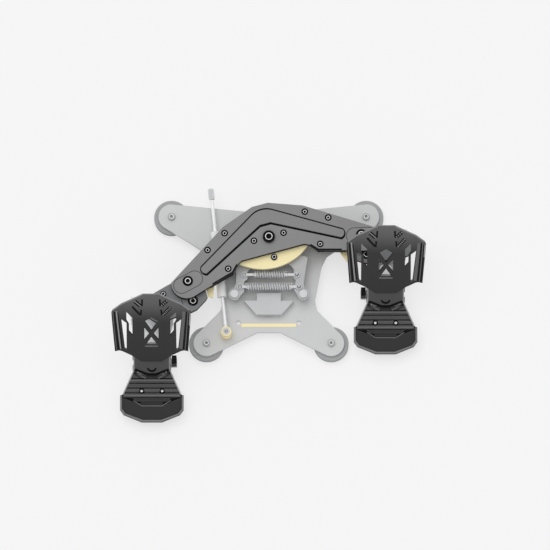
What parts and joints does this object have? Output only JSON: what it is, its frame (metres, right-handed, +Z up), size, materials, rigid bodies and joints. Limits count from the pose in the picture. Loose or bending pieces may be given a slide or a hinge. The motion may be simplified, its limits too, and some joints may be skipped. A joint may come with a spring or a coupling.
{
  "type": "flight sim rudder pedals",
  "caption": "Flight rudder pedals: a boomerang arm swings on a four-footed base and carries a slotted toe plate with a heel rest at each end, with self-centring springs and a damper.",
  "frame": {"origin": "middle of the footprint, on the floor under the feet", "axes": "+X to the user's right across both pedals, +Y away from the user, +Z up"},
  "size_m": [0.4538, 0.344, 0.1659],
  "materials": {
    "silver_plate": "satin",
    "fitting_grey": "satin",
    "grey_rubber": "matte",
    "grey_plastic": "matte",
    "arm_grey": "satin",
    "black_metal": "satin",
    "pedal_black": "satin",
    "gold_anodised": "satin",
    "bright_steel": "polished",
    "screw_steel": "satin",
    "spring_steel": "polished",
    "black_plastic": "matte",
    "board_green": "satin",
    "brass_magnet": "satin"
  },
  "bodies": {
    "base": {"base_plate": "silver_plate", "rubber_feet": "grey_rubber", "foot_screws": "screw_steel", "front_trim_bar": "gold_anodised", "pivot_hub": "fitting_grey", "pivot_bearings": "bright_steel", "hub_screws": "screw_steel", "encoder_board": "board_green", "electronics_cover": "grey_plastic", "control_board": "board_green", "usb_socket": "bright_steel", "jaw_bolts": "bright_steel", "jaw_stop": "fitting_grey", "damper_bolt": "bright_steel"},
    "arm": {"arm_plate": "arm_grey", "arm_inlay": "arm_grey", "end_caps": "arm_grey", "cam_plate": "gold_anodised", "pivot_shaft": "bright_steel", "encoder_magnet": "brass_magnet", "centre_bolt": "screw_steel", "limb_spars": "black_metal", "end_brackets": "arm_grey", "pedal_carriers": "arm_grey", "end_blocks": "gold_anodised", "arm_screws": "screw_steel", "end_screws": "screw_steel", "damper_trunnion": "bright_steel"},
    "cam_roller": {"cam_roller": "bright_steel"},
    "left_head": {"left_swivel_head": "fitting_grey"},
    "left_pedal": {"left_pedal_frame": "fitting_grey", "left_slide_rods": "bright_steel", "left_heel_rest": "pedal_black", "left_heel_screws": "screw_steel", "left_brake_sensor": "black_plastic", "left_brake_cylinder": "fitting_grey"},
    "left_toe": {"left_toe_neck": "pedal_black", "left_toe_plate": "pedal_black", "left_toe_bolts": "bright_steel"},
    "left_plunger": {"left_brake_plunger": "bright_steel"},
    "left_jaw": {"left_jaw": "fitting_grey"},
    "right_head": {"right_swivel_head": "fitting_grey"},
    "right_pedal": {"right_pedal_frame": "fitting_grey", "right_slide_rods": "bright_steel", "right_heel_rest": "pedal_black", "right_heel_screws": "screw_steel", "right_brake_sensor": "black_plastic", "right_brake_cylinder": "fitting_grey"},
    "right_toe": {"right_toe_neck": "pedal_black", "right_toe_plate": "pedal_black", "right_toe_bolts": "bright_steel"},
    "right_plunger": {"right_brake_plunger": "bright_steel"},
    "right_jaw": {"right_jaw": "fitting_grey"},
    "upper_spring": {"upper_spring": "spring_steel", "upper_spring_eyes": "bright_steel"},
    "lower_spring": {"lower_spring": "spring_steel", "lower_spring_eyes": "bright_steel"},
    "damper_rod": {"damper_rod": "bright_steel"},
    "damper_cylinder": {"damper_cylinder": "fitting_grey"},
    "damper_knob": {"damper_knob": "bright_steel"}
  },
  "joints": [
    {"name": "rudder_swing", "type": "hinge", "parent": "base", "child": "arm", "pos_m": [0, 0.09305, 0.057], "axis": [0, 0, 1], "range_deg": [-30.8, 0], "stiffness_Nm_per_rad": 3, "springref_deg": -15.4},
    {"name": "roller_turn", "type": "hinge", "parent": "arm", "child": "cam_roller", "pos_m": [0.0077, 0.06509, 0.037], "axis": [0, 0, 1], "continuous": true},
    {"name": "left_swivel", "type": "hinge", "parent": "arm", "child": "left_head", "pos_m": [-0.16985, -0.00581, 0.047], "axis": [0, 0, 1], "range_deg": [0, 30.83]},
    {"name": "left_slide", "type": "slide", "parent": "left_head", "child": "left_pedal", "axis": [1, 0, 0], "range_m": [0, 0.02669]},
    {"name": "left_toe_brake", "type": "hinge", "parent": "left_pedal", "child": "left_toe", "pos_m": [-0.1695, -0.09301, 0.0242], "axis": [-1, 0, 0], "range_deg": [0, 12], "stiffness_Nm_per_rad": 10, "springref_deg": -3.44},
    {"name": "left_brake_stroke", "type": "slide", "parent": "left_pedal", "child": "left_plunger", "axis": [0, 0.809, -0.5878], "range_m": [0, 0.00821]},
    {"name": "left_jaw_swing", "type": "hinge", "parent": "base", "child": "left_jaw", "pos_m": [-0.05, 0.01305, 0.0355], "axis": [0, 0, 1], "range_deg": [0, 9.41]},
    {"name": "right_swivel", "type": "hinge", "parent": "arm", "child": "right_head", "pos_m": [0.19651, 0.0951, 0.047], "axis": [0, 0, 1], "range_deg": [0, 30.83]},
    {"name": "right_slide", "type": "slide", "parent": "right_head", "child": "right_pedal", "axis": [1, 0, 0], "range_m": [0, 0.02669]},
    {"name": "right_toe_brake", "type": "hinge", "parent": "right_pedal", "child": "right_toe", "pos_m": [0.1695, 0.00791, 0.0242], "axis": [-1, 0, 0], "range_deg": [0, 12], "stiffness_Nm_per_rad": 10, "springref_deg": -3.44},
    {"name": "right_brake_stroke", "type": "slide", "parent": "right_pedal", "child": "right_plunger", "axis": [0, 0.809, -0.5878], "range_m": [0, 0.00821]},
    {"name": "right_jaw_swing", "type": "hinge", "parent": "base", "child": "right_jaw", "pos_m": [0.05, 0.01305, 0.0355], "axis": [0, 0, 1], "range_deg": [0, 9.41]},
    {"name": "upper_spring_shift", "type": "slide", "parent": "base", "child": "upper_spring", "axis": [1, 0, 0], "range_m": [-0.00467, 0]},
    {"name": "lower_spring_shift", "type": "slide", "parent": "base", "child": "lower_spring", "axis": [1, 0, 0], "range_m": [-0.00174, 0]},
    {"name": "damper_pivot", "type": "hinge", "parent": "base", "child": "damper_rod", "pos_m": [-0.0618, -0.04175, 0.0295], "axis": [0, 0, 1], "range_deg": [-1.11, 0]},
    {"name": "damper_stroke", "type": "slide", "parent": "damper_rod", "child": "damper_cylinder", "axis": [-0.1059, 0.9944, 0], "range_m": [0, 0.04099]},
    {"name": "damper_adjust", "type": "hinge", "parent": "damper_rod", "child": "damper_knob", "pos_m": [-0.0618, -0.04175, 0.0295], "axis": [-0.1059, 0.9944, 0], "range_deg": [0, 330]}
  ],
  "couplings": [
    {"joint": "left_swivel", "follows": "rudder_swing", "ratio": -1},
    {"joint": "left_slide", "follows": "rudder_swing", "m_per_rad": -0.049598},
    {"joint": "left_brake_stroke", "follows": "left_toe_brake", "m_per_rad": 0.039152},
    {"joint": "left_jaw_swing", "follows": "rudder_swing", "ratio": -0.30519},
    {"joint": "right_swivel", "follows": "rudder_swing", "ratio": -1},
    {"joint": "right_slide", "follows": "rudder_swing", "m_per_rad": -0.049598},
    {"joint": "right_brake_stroke", "follows": "right_toe_brake", "m_per_rad": 0.039152},
    {"joint": "right_jaw_swing", "follows": "rudder_swing", "ratio": -0.30519},
    {"joint": "upper_spring_shift", "follows": "rudder_swing", "m_per_rad": 0.008674},
    {"joint": "lower_spring_shift", "follows": "rudder_swing", "m_per_rad": 0.003239},
    {"joint": "damper_pivot", "follows": "rudder_swing", "ratio": 0.036153},
    {"joint": "damper_stroke", "follows": "rudder_swing", "m_per_rad": -0.076169}
  ]
}
